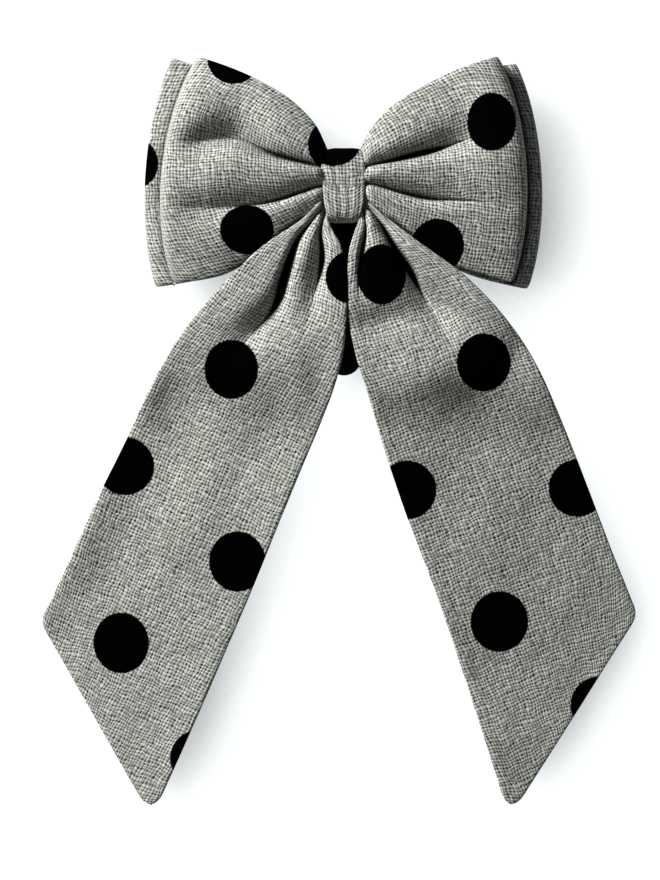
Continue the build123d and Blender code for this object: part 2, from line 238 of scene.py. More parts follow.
def weave(paint, pitch):
    """A plain weave drawn from the cloth's own coordinates, in millimetres: their place, the threads'
    height, the pits between threads, each thread's shade along its length, and a random shade for each
    crossing."""
    place = paint.node("UVMap", settings={"uv_map": "cloth"})
    parts = parts_of(paint, place)
    wide, narrow = OWN_STRETCH
    threads = []
    for axis, stretch, offset in ((0, (wide, narrow, 1.0), 0.0), (1, (narrow, wide, 1.0), WEFT_OFFSET)):
        shifted = paint.moved(place, (offset, offset, 0))
        own = centred(paint, paint.noise(paint.scaled(shifted, stretch), OWN_WANDER[0]), OWN_WANDER[1])
        shared = centred(paint, paint.noise(shifted, SHARED_WANDER[0]), SHARED_WANDER[1])
        counted = paint.math("DIVIDE", parts[axis], pitch)
        threads.append(paint.plus(counted, paint.plus(own, shared)))
    along, across = threads
    cell = paint.plus(paint.math("FLOOR", along), paint.math("FLOOR", across))
    # +1 where the warp lies over the weft, -1 where it dips under.
    odd = paint.math("FLOORED_MODULO", cell, 2.0)
    side = paint.minus(paint.times(odd, 2.0), 1.0)
    crown_a = paint.math("SINE", paint.times(paint.math("FRACT", along), math.pi))
    crown_b = paint.math("SINE", paint.times(paint.math("FRACT", across), math.pi))
    over_a = paint.times(side, crown_b)
    over_b = paint.times(side, crown_a)
    rise_a = paint.plus(0.5, paint.times(over_a, 0.5))
    rise_b = paint.minus(0.5, paint.times(over_b, 0.5))
    warp = paint.times(paint.math("POWER", crown_a, CROWN_POWER), rise_a)
    weft = paint.times(paint.math("POWER", crown_b, CROWN_POWER), rise_b)
    height = paint.math("MAXIMUM", warp, weft)
    pit = paint.times(
        paint.minus(1.0, paint.math("POWER", crown_a, PIT_POWER)),
        paint.minus(1.0, paint.math("POWER", crown_b, PIT_POWER)),
    )
    random_pit = paint.ramp(cell_noise(paint, along, across, "ROUND"), 0, 1, *PIT_RANDOM)
    pit = paint.times(pit, random_pit)
    # Slubs: each thread has its own shade along its length.
    wide, narrow = SLUB_STRETCH
    slub_a = paint.noise(paint.scaled(place, (wide, narrow, 1.0)), 1.0)
    slub_b = paint.noise(paint.scaled(place, (narrow, wide, 1.0)), 1.0)
    warp_over = paint.math("GREATER_THAN", warp, weft)
    slub = paint.node("Mix", settings={"data_type": "FLOAT"}, Factor=warp_over, A=slub_b, B=slub_a)
    return place, height, pit, slub, cell_noise(paint, along, across, "FLOOR")


CLOTH_PIT_SHADE = (0.0160, 0.0168, 0.0152, 1.0)
CLOTH_MIDDLE = (0.056, 0.058, 0.0535, 1.0)
CLOTH_LIGHT = (0.325, 0.332, 0.311, 1.0)
CLOTH_PAINTED_HIGHLIGHT = (0.190, 0.194, 0.184, 1.0)
# The printed dots' black, also the black of the painted shade.
DOT_AND_SHADE_BLACK = (0.0, 0.0, 0.0, 1.0)
# How much each thing counts in a thread's shade, and the sums at which that is darkest and lightest.
HEIGHT_WEIGHT, SLUB_WEIGHT, FIBRE_WEIGHT, CROSSING_WEIGHT = 2.3, 1.2, 1.3, 1.0
THREAD_RANGE = (-1.15, 1.35)
PIT_SHADE_RANGE = (0.10, 1.25)  # painted shade in the pits: how deep a pit is where it starts to darken, and where it is darkest
PATCH_RANGE = (0.35, 0.65, 0.55, 1.6)  # patches of cloth have shallower or deeper pits
TINT_RANGE, TINT_DARK, TINT_LIGHT = (0.3, 0.7), (0.88, 0.89, 0.87, 1), (1.0, 1.0, 1.0, 1)
PAINTED_HIGHLIGHT_SHARE = 0.6  # how much of the painted highlight's colour the cloth along a fold takes
DOT_RAGGED = 0.6  # how far, in millimetres, the threads break up a dot's edge
DOT_SOFT = 0.1  # half the width of that edge
RELIEF, RELIEF_DEPTH, RELIEF_STRENGTH = 0.8, 0.2, 0.6


def cloth_material():
    paint = Paint("dotted_linen", 0.95, Specular_IOR_Level=0.015)
    place, height, pit, slub, crossing = weave(paint, THREAD_PITCH)
    fibre = paint.noise(place, 2.0, 3.0, 0.7)
    patchy = paint.noise(place, 0.95)
    # Painted light and shade at thread scale: a thread's crown is lighter than its sides, and the pits between
    # threads are darkened. Slubs, fibres and crossings are the threads' own shades.
    level = centred(paint, height, HEIGHT_WEIGHT)
    for value, weight in ((slub, SLUB_WEIGHT), (fibre, FIBRE_WEIGHT), (crossing, CROSSING_WEIGHT)):
        level = paint.plus(level, centred(paint, value, weight))
    thread = paint.mix(paint.ramp(level, *THREAD_RANGE), CLOTH_MIDDLE, CLOTH_LIGHT)
    pit_shade = paint.times(pit, paint.ramp(patchy, *PATCH_RANGE))
    thread = paint.mix(paint.ramp(pit_shade, *PIT_SHADE_RANGE), thread, CLOTH_PIT_SHADE)
    tint = paint.mix(paint.ramp(paint.noise(place, 0.05), *TINT_RANGE), TINT_DARK, TINT_LIGHT)
    thread = paint.mix(1.0, thread, tint, "MULTIPLY")
    # Painted highlight: the cloth along the loops' folded ends is lightened and loses its pits, where the
    # turned edge catches the light.
    painted_highlight = paint.node("Attribute", output=2, settings={"attribute_name": "painted_highlight"})
    thread = paint.mix(paint.times(painted_highlight, PAINTED_HIGHLIGHT_SHARE), thread, CLOTH_PAINTED_HIGHLIGHT)
    # The printed dots: a signed distance to the nearest edge, broken up a little by the threads.
    edge = paint.node("Attribute", output=2, settings={"attribute_name": "dot_edge"})
    ragged = paint.plus(edge, centred(paint, patchy, DOT_RAGGED))
    colour = paint.mix(paint.ramp(ragged, DOT_SOFT, -DOT_SOFT), thread, DOT_AND_SHADE_BLACK)
    # Painted shade: the cloth is mixed towards black down in the creases' slits and beside the edges of pieces
    # that lie over it.
    painted_shade = paint.node("Attribute", output=2, settings={"attribute_name": "painted_shade"})
    colour = paint.mix(painted_shade, colour, DOT_AND_SHADE_BLACK)
    raised, sunk = paint.times(height, RELIEF), paint.times(pit, RELIEF)
    relief = paint.minus(raised, sunk)
    return paint.surface(colour, relief, RELIEF_DEPTH, RELIEF_STRENGTH)


def felt_material():
    """Matt black felt: short fibres in all directions."""
    paint = Paint("black_felt", 0.95, Sheen_Weight=0.2, Specular_IOR_Level=0.1)
    fine = paint.noise(object_place(paint), 1400.0, 5.0, 0.75)
    colour = paint.mix(paint.ramp(fine, 0.35, 0.65), grey(0.004), grey(0.02))
    return paint.surface(colour, fine, 0.12, 0.8)


RIBBON_RIBS = 5200.0  # radians to a metre: a rib every 0.6 mm
GRIP_RIBS = 2600.0  # and every 1.2 mm


def ribs(paint, place, rate):
    """Rounded ribs that follow one another along z."""
    wave = paint.math("SINE", paint.times(parts_of(paint, place)[2], rate))
    return paint.math("ABSOLUTE", wave)


def ribbon_material():
    """Grosgrain: fine ribs across the ribbon's width."""
    paint = Paint("black_grosgrain", 0.8, Sheen_Weight=0.03, Specular_IOR_Level=0.06)
    place = object_place(paint)
    rib = ribs(paint, place, RIBBON_RIBS)
    fibre = paint.noise(paint.scaled(place, (6.0, 1.0, 1.0)), 900.0, 3.0)
    level = paint.times(rib, paint.ramp(fibre, 0.3, 0.7, 0.7, 1.0))
    colour = paint.mix(level, (0.0006, 0.0006, 0.0006, 1), (0.004, 0.004, 0.0042, 1))
    return paint.surface(colour, level, 0.12, 0.6)


def painted_steel_material():
    """Satin black paint, thinner and a little brighter where it is rubbed."""
    paint = Paint("black_painted_steel", 0.35, Coat_Weight=0.3, Coat_Roughness=0.25)
    place = object_place(paint)
    speckle = paint.noise(place, 2600.0, 4.0)
    rub = paint.noise(paint.scaled(place, (1.0, 1.0, 0.25)), 700.0, 3.0)
    colour = paint.mix(paint.ramp(rub, 0.55, 0.8), (0.008, 0.008, 0.009, 1), (0.035, 0.034, 0.033, 1))
    return paint.surface(colour, speckle, 0.02, 0.5, paint.ramp(rub, 0.3, 0.8, 0.3, 0.5))


def wire_material():
    paint = Paint("spring_wire", 0.28, Metallic=1.0)
    place = object_place(paint)
    drawn = paint.noise(paint.scaled(place, (0.3, 1.0, 1.0)), 5000.0, 3.0)
    colour = paint.mix(drawn, (0.32, 0.32, 0.33, 1), (0.62, 0.61, 0.6, 1))
    return paint.surface(colour, drawn, 0.01, 0.4, paint.ramp(drawn, 0.3, 0.7, 0.22, 0.4))


def rubber_material():
    paint = Paint("grip_rubber", 0.8, Specular_IOR_Level=0.3)
    place = object_place(paint)
    rib = ribs(paint, place, GRIP_RIBS)
    dust = paint.noise(place, 1500.0, 4.0)
    colour = paint.mix(paint.ramp(dust, 0.5, 0.8), grey(0.012), grey(0.04))
    return paint.surface(colour, rib, 0.15, 0.7)


def thread_material():
    paint = Paint("grey_thread", 0.8, Sheen_Weight=0.2)
    twist = paint.noise(paint.scaled(object_place(paint), (3.0, 1.0, 1.0)), 1800.0, 3.0)
    colour = paint.mix(twist, grey(0.12), grey(0.4))
    return paint.surface(colour, twist, 0.08, 0.6)


def stage_material(name, value, glow=0.0, one_way=False):
    """Plain paper. Glowing paper is softly shaded where something lies close over it on the key light's
    side. One-way paper is only there from the front, so the bow's back can be looked at."""
    paint = Paint(name, 0.9, Specular_IOR_Level=0.1)
    if glow:
        paint.shader.inputs["Emission Color"].default_value = GLOW_COLOUR
        x, y, z = SHADE_TOWARDS
        toward_key = paint.node("CombineXYZ", X=x, Y=y, Z=z)
        sky = paint.node("AmbientOcclusion", output=1, Distance=SHADE_REACH * MM, Normal=toward_key)
        strength = paint.ramp(sky, *SHADE_RANGE, SHADE_DEEPEST * glow, glow)
        paint.plug(paint.shader.inputs["Emission Strength"], strength)
    grain = paint.noise(object_place(paint), 400.0, 3.0)
    paint.surface(paint.mix(grain, grey(value * PAPER_GRAIN), grey(value)))
    if one_way:
        back = paint.node("NewGeometry", output="Backfacing")
        clear = paint.node("BsdfTransparent")
        mixed = paint.new("MixShader")
        for socket, value in zip(mixed.inputs, (back, paint.shader.outputs[0], clear)):
            paint.plug(socket, value)
        paint.plug(paint.tree.nodes["Material Output"].inputs[0], mixed.outputs[0])
    return paint.material


# ---------------------------------------------------------------- cloth shapes
LENGTH_SAMPLES, PLAN_SAMPLES = 800, (300, 201)
ROW_CLEARANCE, COLUMN_CLEARANCE = 1.2, 1.25  # even rows and columns keep this far from the crowded ones


def smooth(low, high, value):
    t = np.clip((np.asarray(value, float) - low) / (high - low), 0, 1)
    return t * t * (3 - 2 * t)


def through(points, t):
    """A smooth curve through points, where t runs evenly from point to point, from 0 to 1."""
    p = np.array(points, float)
    x = np.clip(np.asarray(t, float), 0, 1) * (len(p) - 1)
    i = np.minimum(x.astype(int), len(p) - 2)
    f = (x - i)[..., None]
    before = p[np.maximum(i - 1, 0)]
    after = p[np.minimum(i + 2, len(p) - 1)]
    a, b = p[i], p[i + 1]
    squared = (2 * before - 5 * a + 4 * b - after) * f**2
    cubed = (3 * (a - b) + after - before) * f**3
    return 0.5 * (2 * a + (b - before) * f + squared + cubed)


def even_rows(curves, count, edge_steps):
    """Row positions in t, even along the curves' mean length, with extra rows at the far end."""
    t = np.linspace(0, 1, LENGTH_SAMPLES)
    length = 0
    for c in curves:
        step = norm(np.diff(through(c, t), axis=0), axis=1)
        length = length + np.concatenate(([0], np.cumsum(step))) / len(curves)
    wanted = np.linspace(0, length[-1], count)
    clear = wanted[wanted < length[-1] - edge_steps[0] * ROW_CLEARANCE]
    wanted = np.concatenate((clear, length[-1] - np.array(edge_steps)))
    return np.interp(wanted, length, t)


CREASE_STEPS = np.array((0.002, 0.005, 0.009, 0.014, 0.020, 0.028))  # shares of the strip's width
CREASE_POWER = 1.35  # 1 gives a sharp-bottomed valley and 2 a soft one
SLIT_SPREAD = 0.28  # half width of a slit for each millimetre of its depth
SLIT_LEAST = 0.05  # added to that half width
SLIT_GATHERS = 0.15  # a slit this deep parts the threads on its two sides
PAINTED_SHADE_SLITS = (0.8, 3.2)  # painted shade: a slit this shallow is not darkened yet, and one this deep is painted black
PAINTED_SHADE_EDGE = (1.25, 0.6)  # in half widths of a slit: where the dark starts, and where it is full
NO_DOT = 50.0  # the distance that stands for no dot nearby
EDGE_STEPS = (3.0, 1.7, 0.95, 0.5, 0.22, 0.06, 0.0)  # from an edge, where the cloth turns over


def columns(count, width, creases=()):
    """Column positions from 0 to 1 across a strip, crowded at its turned edges and round its creases."""
    edge = np.array(EDGE_STEPS[::-1]) / width
    inner = np.linspace(edge[-1], 1 - edge[-1], count)
    for place in creases:
        beside = place + np.concatenate((-CREASE_STEPS[::-1], [0.0], CREASE_STEPS))
        inner = inner[np.abs(inner - place) > CREASE_STEPS[-1] * COLUMN_CLEARANCE]
        inner = np.sort(np.concatenate((inner, beside)))
    return np.concatenate((edge[:-1], inner, (1 - edge[:-1])[::-1]))


def eased(values, reach=5):
    padded = np.pad(values, reach, mode="edge")
    return np.convolve(padded, np.ones(2 * reach + 1) / (2 * reach + 1), mode="valid")


def locate(plan, spot):
    """The way along and across at which a strip's front-view plan passes nearest to a spot."""
    t, w = (np.linspace(0, 1, samples) for samples in PLAN_SAMPLES)
    away = norm(plan(t, w) - np.array(spot), axis=2)
    i, j = np.unravel_index(np.argmin(away), away.shape)
    return t[i], w[j]


class Creases:
    """The creases pressed into one panel. Each is a list of stations from the knot outwards: front-view x
    and z, depth, half width on the low and on the high side, and the depth of the slit at the bottom."""

    def __init__(self, plan, t, creases):
        self.rows = []
        for stations in creases:
            spots = np.array([(*locate(plan, s[:2]), *s[2:]) for s in stations])
            self.rows.append([eased(np.interp(t, spots[:, 0], spots[:, k])) for k in range(1, 6)])
        ends = plan(t, np.array([0.0, 1.0]))
        self.width = norm(ends[:, 1] - ends[:, 0], axis=1)

    def shares(self, u, creases_at):
        """Where each column lies in each row: the columns crowded round a crease follow it."""
        marks = [0.0, *creases_at, 1.0]
        places = zip(*(row[0] for row in self.rows))
        return np.array([np.interp(u, marks, [0.0, *place, 1.0]) for place in places])

    def depth(self, w):
        total = np.zeros(w.shape)
        for place, depth, low, high, slit in (np.array(row)[:, :, None] for row in self.rows):
            away = (w - place) * self.width[:, None]
            half = np.where(away < 0, low, high)
            total += depth * np.exp(-((np.abs(away) / half) ** CREASE_POWER))
            total += slit * np.exp(-((away / (SLIT_SPREAD * slit + SLIT_LEAST)) ** 2))
        return total

    def painted_shade(self, w):
        """Painted shade: 1 down in the slits, where no light comes, and 0 elsewhere."""
        total = np.zeros(w.shape)
        for place, _, _, _, slit in (np.array(row)[:, :, None] for row in self.rows):
            reach = SLIT_SPREAD * slit + SLIT_LEAST
            away = np.abs(w - place) * self.width[:, None] / reach
            total = np.maximum(total, smooth(*PAINTED_SHADE_SLITS, slit) * smooth(*PAINTED_SHADE_EDGE, away))
        return total

    def across(self, grid, u, creases_at):
        """Thread coordinates across a panel: the real length from the middle flute. A flute beyond a slit
        keeps its own threads straight along it, and meets its neighbour's again where the slit runs out."""
        across = np.zeros(grid.shape[:2])
        across[:, 1:] = np.cumsum(norm(np.diff(grid, axis=1), axis=2), axis=1)
        middle = sum(creases_at) / len(creases_at)
        across -= across[:, [int(np.argmin(np.abs(u - middle)))]]
        for row, column in zip(self.rows, creases_at):
            gathered = np.nonzero(row[4] > SLIT_GATHERS)[0]
            beyond = u > column if column > middle else u < column
            edge = 1.0 if column > middle else 0.0
            ridge = across[:, int(np.argmin(np.abs(u - (column + edge) / 2)))].copy()
            end = gathered[-1] if gathered[0] < len(row[4]) - gathered[-1] else gathered[0]
            shift = np.zeros(len(ridge))
            shift[gathered] = ridge[end] - ridge[gathered]
            across[:, beyond] += shift[:, None]
        return across


def thread_length(grid, u):
    """Thread coordinates along a strip: the length down its columns, without what the creases add."""
    along = np.zeros(grid.shape[:2])
    along[1:] = np.cumsum(norm(np.diff(grid, axis=0), axis=2), axis=0)
    fit = np.polynomial.polynomial.polyfit(u, along.T, 3)
    return np.polynomial.polynomial.polyval(u, fit)


def ripple(grid, ripples, rows=slice(None)):
    """Soft swells and dents: front-view centre, direction, half length, half width and height."""
    for x, z, angle, long, wide, lift in ripples:
        dx, dz = grid[rows, :, 0] - x, grid[rows, :, 2] - z
        u = dx * math.cos(angle) + dz * math.sin(angle)
        v = dz * math.cos(angle) - dx * math.sin(angle)
        grid[rows, :, 1] -= lift * np.exp(-((u / long) ** 2) - (v / wide) ** 2)


def waver(grid, size, amount, seed):
    """Small soft unevenness in y, the same on every run."""
    spots = grid.reshape(-1, 3) / size + (seed, 0, 0)
    shift = np.array([noise.noise(Vector(spot)) for spot in spots])
    grid[..., 1] += amount * shift.reshape(grid.shape[:2])


def dot_distance(points, dots):
    """Signed distance from the front-view place of each point to the nearest dot's edge."""
    best = np.full(points.shape[:-1], NO_DOT)
    for x, z, across, tall in dots:
        away = np.hypot((points[..., 0] - x) / across, (points[..., 2] - z) / tall)
        best = np.minimum(best, (away - 1) * min(across, tall))
    return best


def painted_shadow_beside(grid, line, reach, amount):
    """Painted shadow: how dark the cloth is painted beside a line in the front view, where another piece lies
    over it.
    """
    spots = np.array(line, float)
    away = np.full(grid.shape[:2], np.inf)
    flat = grid[..., [0, 2]]
    for a, b in zip(spots[:-1], spots[1:]):
        step = b - a
        share = np.clip((flat - a) @ step / (step @ step), 0, 1)
        away = np.minimum(away, norm(flat - a - share[..., None] * step, axis=2))
    return amount * smooth(reach, 0.25 * reach, away)


def two_ply(name, outer, uv, closed, marks, thickness=PLY_THICKNESS, swell=SEAM_SWELL):
    """A sewn strip from the grid of its outer face: both faces, its turned edges and its seam allowance.
    marks holds named numbers for the material, each for the outer face and for the inner one."""
    rows, cols = outer.shape[:2]
    if closed:
        down = np.roll(outer, -1, axis=0) - np.roll(outer, 1, axis=0)
    else:
        down = np.gradient(outer, axis=0)
    over = np.gradient(outer, axis=1)
    normal = np.cross(down, over)
    normal /= np.maximum(norm(normal, axis=2, keepdims=True), 1e-9)
    borders = [outer[:, :1], outer[:, -1:]] + ([] if closed else [outer[:1], outer[-1:]])
    edge = np.min([norm(outer - border, axis=2) for border in borders], axis=0)
    radius = thickness / 2
    turned = radius * np.sqrt(1 - (1 - np.clip(edge / radius, 0, 1)) ** 2)
    raised = swell * np.exp(-(((edge - SEAM_INSET) / SEAM_SPREAD) ** 2))
    front = outer - normal * (radius - turned - raised)[..., None]
    back = outer - normal * (radius + turned + raised)[..., None]

    front_id = np.arange(rows * cols).reshape(rows, cols)
    back_id = front_id + rows * cols
    back_id[:, 0], back_id[:, -1] = front_id[:, 0], front_id[:, -1]
    if not closed:
        back_id[0], back_id[-1] = front_id[0], front_id[-1]
    used = np.zeros(2 * rows * cols, bool)
    used[front_id], used[back_id] = True, True
    renumber = np.cumsum(used) - 1
    place = np.concatenate((front.reshape(-1, 3), back.reshape(-1, 3)))[used] * MM
    spots = np.concatenate((uv.reshape(-1, 2), uv.reshape(-1, 2)))[used]

    faces = []
    last_row = rows if closed else rows - 1
    for ids, flip in ((front_id, False), (back_id, True)):
        a = ids[:last_row, :-1]
        b = np.roll(ids, -1, axis=0)[:last_row, :-1]
        c = np.roll(ids, -1, axis=0)[:last_row, 1:]
        d = ids[:last_row, 1:]
        order = (a, d, c, b) if flip else (a, b, c, d)
        faces.append(np.stack([renumber[q].ravel() for q in order], axis=1))
    faces = np.concatenate(faces)

    mesh = bpy.data.meshes.new(name)
    mesh.from_pydata(place.tolist(), [], faces.tolist())
    mesh.polygons.foreach_set("use_smooth", [True] * len(mesh.polygons))
    layer = mesh.uv_layers.new(name="cloth")
    corner = np.zeros(len(mesh.loops), int)
    mesh.loops.foreach_get("vertex_index", corner)
    layer.data.foreach_set("uv", spots[corner].ravel())
    for mark, values in marks.items():
        attribute = mesh.attributes.new(mark, "FLOAT", "POINT")
        attribute.data.foreach_set("value", np.concatenate([v.ravel() for v in values])[used])
    mesh.validate()
    piece = bpy.data.objects.new(name, mesh)
    bpy.context.scene.collection.objects.link(piece)
    return piece


# ---------------------------------------------------------------- bow loops
LOOP_CREASES_AT = (0.37, 0.62)
LOOP_ROWS, LOOP_COLUMNS = 96, 64
FOLD_CROWDING = 1.9  # above 1, rows crowd towards the fold
# The rise from the waist is made in two steps: the share, and where it starts and ends.
LOOP_RISE = ((0.7, -0.01, 0.17), (0.3, 0.1, 0.45))
CREASES_FADE = (1.0, 0.82)  # the fold has no creases
BOW_WAVERS = ((16.0, 0.5, 0.0), (6.0, 0.16, 7.0))  # size, amount and what is added to the seed
BOW_WIDTH = 73.0


def arched(heights, w):
    """A smooth cross-section through its heights at the low edge, the middle and the high edge."""
    low, middle, high = heights
    return low * (1 - w) * (1 - 2 * w) + middle * 4 * w * (1 - w) + high * w * (2 * w - 1)


class Loop:
    """One loop of a bow, drawn for the right side. side is -1 to lay it out on the left.
    top and bottom are its edges from the knot outwards, and bulge is how far its end swings past them.
    waist is the front panel's y at the knot (low edge, middle, high edge), and then the back panel's.
    crown and hollow are the y of the front and of the back panel further out, at the same three places.
    fold holds the folded end's y, the share of the way out where the panels start to turn over, how
    square that turn is, and the width of the painted highlight along that end."""

    def __init__(self, side, top, bottom, bulge, waist, crown, hollow, fold, creases, back_creases):
        self.side = side
        self.top, self.bottom = top, bottom
        self.bulge = bulge
        self.waist, self.crown, self.hollow = waist, crown, hollow
        self.fold_y, self.fold_starts, self.fold_power, self.highlight_width = fold
        self.creases, self.back_creases = creases, back_creases

    def plan(self, t, w):
        """Front-view place at t of the way out, and w of the way from the bottom to the top edge."""
        share = np.broadcast_to(w, (len(t), np.shape(w)[-1]))
        low, high = through(self.bottom, t)[:, None], through(self.top, t)[:, None]
        flat = low * (1 - share[..., None]) + high * share[..., None]
        flat[..., 0] += self.bulge * t[:, None] ** 1.5 * (1 - (2 * share - 1) ** 2) ** 0.8
        return flat

    def end(self):
        """The folded end as a line in the front view."""
        return self.plan(np.ones(1), np.linspace(0, 1, 16))[0] * (self.side, 1)

    def panel(self, t, u, front):
        """The front or the back panel's outer face and its threads' coordinates across."""
        creases = Creases(self.plan, t, self.creases if front else self.back_creases)
        w = creases.shares(u, LOOP_CREASES_AT)
        flat = self.plan(t, w)
        start = arched(self.waist[0], w) if front else self.waist[1]
        lift = arched(self.crown if front else self.hollow, w)
        rise = sum(share * smooth(start_at, end_at, t) for share, start_at, end_at in LOOP_RISE)
        y = start + (lift - start) * rise[:, None]
        turn = np.clip((t - self.fold_starts) / (1 - self.fold_starts), 0, 1)[:, None]
        y = self.fold_y + (y - self.fold_y) * (1 - turn**self.fold_power) ** (1 / self.fold_power)
        fade = smooth(*CREASES_FADE, t)[:, None]
        y = y + creases.depth(w) * fade * (1 if front else -1)
        grid = np.stack((self.side * flat[..., 0], y, flat[..., 1]), axis=2)
        end = self.plan(np.ones(len(t)), w)
        # Painted highlight along the folded end.
        painted_highlight = smooth(self.highlight_width, 0.4 * self.highlight_width, end[..., 0] - flat[..., 0])
        return grid, creases.across(grid, u, LOOP_CREASES_AT), creases.painted_shade(w) * fade, painted_highlight


def make_bow(name, right, left, dots, back_dots, ripples, covers, seed):
    """A whole bow: out along the right front, back along the right back, and so on round the left.
    covers are the edges of what lies over its front: line, reach of the shadow painted beside it, and how dark
    that is."""
    u = columns(LOOP_COLUMNS, BOW_WIDTH, LOOP_CREASES_AT)
    out = 1 - (1 - np.linspace(0, 1, LOOP_ROWS)) ** FOLD_CROWDING
    inward = out[::-1][1:]
    panels = [
        right.panel(out, u, True), right.panel(inward, u, False),
        left.panel(out, u, False), left.panel(inward, u, True),
    ]
    grid, across, painted_shade, painted_highlight = (np.concatenate(part) for part in zip(*panels))
    is_front = np.concatenate([np.full(len(panel[0]), k in (0, 3)) for k, panel in enumerate(panels)])
    ripple(grid, ripples, is_front)
    for size, amount, step in BOW_WAVERS:
        waver(grid, size, amount, seed + step)
    uv = np.stack((thread_length(grid, u), across), axis=2)
    is_front = is_front[:, None]
    for line, reach, amount in covers:
        painted_shade = np.where(is_front, np.maximum(painted_shade, painted_shadow_beside(grid, line, reach, amount)), painted_shade)
    seen, hidden = dot_distance(grid, dots), dot_distance(grid, back_dots)
    marks = {
        "dot_edge": (np.where(is_front, seen, hidden), np.where(is_front, hidden, seen)),
        "painted_shade": (painted_shade, np.zeros(painted_shade.shape)),
        "painted_highlight": (painted_highlight, painted_highlight),
    }
    return two_ply(name, grid, uv, True, marks)


# Where each crease runs out, past the end of the front loops and of the rear ones.
LOOP_END_LOW, LOOP_END_HIGH = (60.0, -6.0, 0, 6, 6, 0), (60.0, 14.0, 0, 8, 8, 0)
REAR_END_LOW, REAR_END_HIGH = (66, -7, 0, 6, 6, 0), (66, 14, 0, 8, 8, 0)


def hidden_creases(depth, low_end, high_end):
    """The slight creases of a panel that another one lies over."""
    return [
        [(7, -1, depth, 2, 2, 0.3), (30, -5, depth / 2, 4, 4, 0), low_end],
        [(7, 5.5, depth, 2, 2, 0.3), (30, 12, depth / 2, 4, 4, 0), high_end],
    ]


FRONT_BACK_CREASES = hidden_creases(0.6, LOOP_END_LOW, LOOP_END_HIGH)
REAR_FRONT_CREASES = hidden_creases(0.4, REAR_END_LOW, REAR_END_HIGH)
FRONT_WAIST = ((-20, -24.2, -22.8), -15.6)
FRONT_CROWN = (-19.6, -28.4, -25)
FRONT_RIGHT = Loop(
    side=1,
    top=[(5, 10.6), (8.6, 18.6), (15.4, 25.6), (25.4, 31.9), (36.2, 37.2), (48.8, 41.5)],
    bottom=[(5, -8.6), (10.5, -13.2), (19, -18.8), (29, -23.2), (39.5, -26.7), (53.4, -30.7)],
    bulge=7.2,
    waist=FRONT_WAIST,
    crown=FRONT_CROWN,
    hollow=(-17.0, -16.4, -17.0),
    fold=(-18.8, 0.62, 4.0, 0.8),
    creases=[[
        (5.5, 0.8, 1.4, 1.2, 1.2, 0.9), (7.1, 0.6, 2.2, 1.2, 1.2, 1.2), (14, -1, 3.6, 1.4, 2.2, 1.5),
        (19.1, -2.3, 3.8, 1.6, 2.8, 2.2), (26, -4.3, 3.6, 1.8, 3.6, 2.4), (34.6, -4.6, 2.2, 2.4, 4.2, 1.2),
        (40.6, -5.2, 1.4, 3.2, 4.8, 0.6), (48, -6, 0.4, 5, 6, 0), LOOP_END_LOW,
    ], [
        (5.5, 5.4, 1.4, 1.2, 1.2, 0.9), (7, 5.6, 2.4, 1.1, 1.6, 1.4), (12.7, 7.2, 4, 1.2, 2.8, 2),
        (19.1, 8.9, 4.8, 1.3, 3.8, 3.4), (26, 10.6, 5.2, 1.6, 4.8, 4.2), (32, 12.2, 5.8, 2.4, 5.4, 2.2),
        (37.6, 14.2, 5.4, 3.4, 5.6, 0.1), (45, 15.4, 1.4, 6, 8, 0), LOOP_END_HIGH,
    ]],
    back_creases=FRONT_BACK_CREASES,
)
FRONT_LEFT = Loop(
    side=-1,
    top=[(5, 10.6), (8.8, 19.3), (17.2, 27.7), (26.5, 33.3), (35.6, 37.5), (46.4, 41.4)],
    bottom=[(5, -8.6), (10.5, -13.2), (19, -18.8), (29, -23.4), (39.5, -28.6), (53.8, -31.2)],
    bulge=8.2,
    waist=FRONT_WAIST,
    crown=FRONT_CROWN,
    hollow=(-16.8, -15.8, -16.6),
    fold=(-19.9, 0.45, 2.7, 1.9),
    creases=[[
        (5.5, 0.2, 1.4, 1.2, 1.2, 0.9), (7.6, -0.2, 2.2, 1.2, 1.6, 1.6), (16, -3, 3.6, 1.6, 3, 2.1),
        (25, -5.4, 3.8, 2.2, 4, 1.9), (31, -6.4, 4.4, 2.8, 5, 0.5), (38, -7, 5, 3.6, 5.6, 0),
        (48, -7, 3.8, 5, 5.8, 0), LOOP_END_LOW,
    ], [
        (5.5, 5.2, 1.4, 1.2, 1.2, 0.9), (8.6, 5.8, 2.4, 1.2, 1.8, 1.8), (17.9, 8.3, 4, 1.5, 3.2, 2.6),
        (25, 10.8, 6, 2, 5, 2.5), (31.5, 14.8, 9.2, 2.8, 6.8, 0.4), (38, 15.8, 9.2, 4, 7.2, 0),
        (47, 14.2, 5.4, 5.5, 7, 0), LOOP_END_HIGH,
    ]],
    back_creases=FRONT_BACK_CREASES,
)
REAR_BACK_CREASES = [[
    (6, -2, 2.4, 1.4, 1.4, 1.6), (14, -4, 3.4, 2, 2, 2.2), (24, -6, 3.2, 2.6, 3, 1.6),
    (34, -7, 2.2, 4, 4.6, 0.3), (46, -7.5, 0.9, 6, 6, 0), REAR_END_LOW,
], [
    (6, 4, 2.4, 1.4, 1.4, 1.6), (14, 7, 3.4, 2, 2.2, 2.4), (24, 10.5, 3.4, 2.8, 3.4, 1.8),
    (36, 13.5, 2.4, 4.4, 5.4, 0.3), (48, 14, 0.9, 6, 7, 0), REAR_END_HIGH,
]]


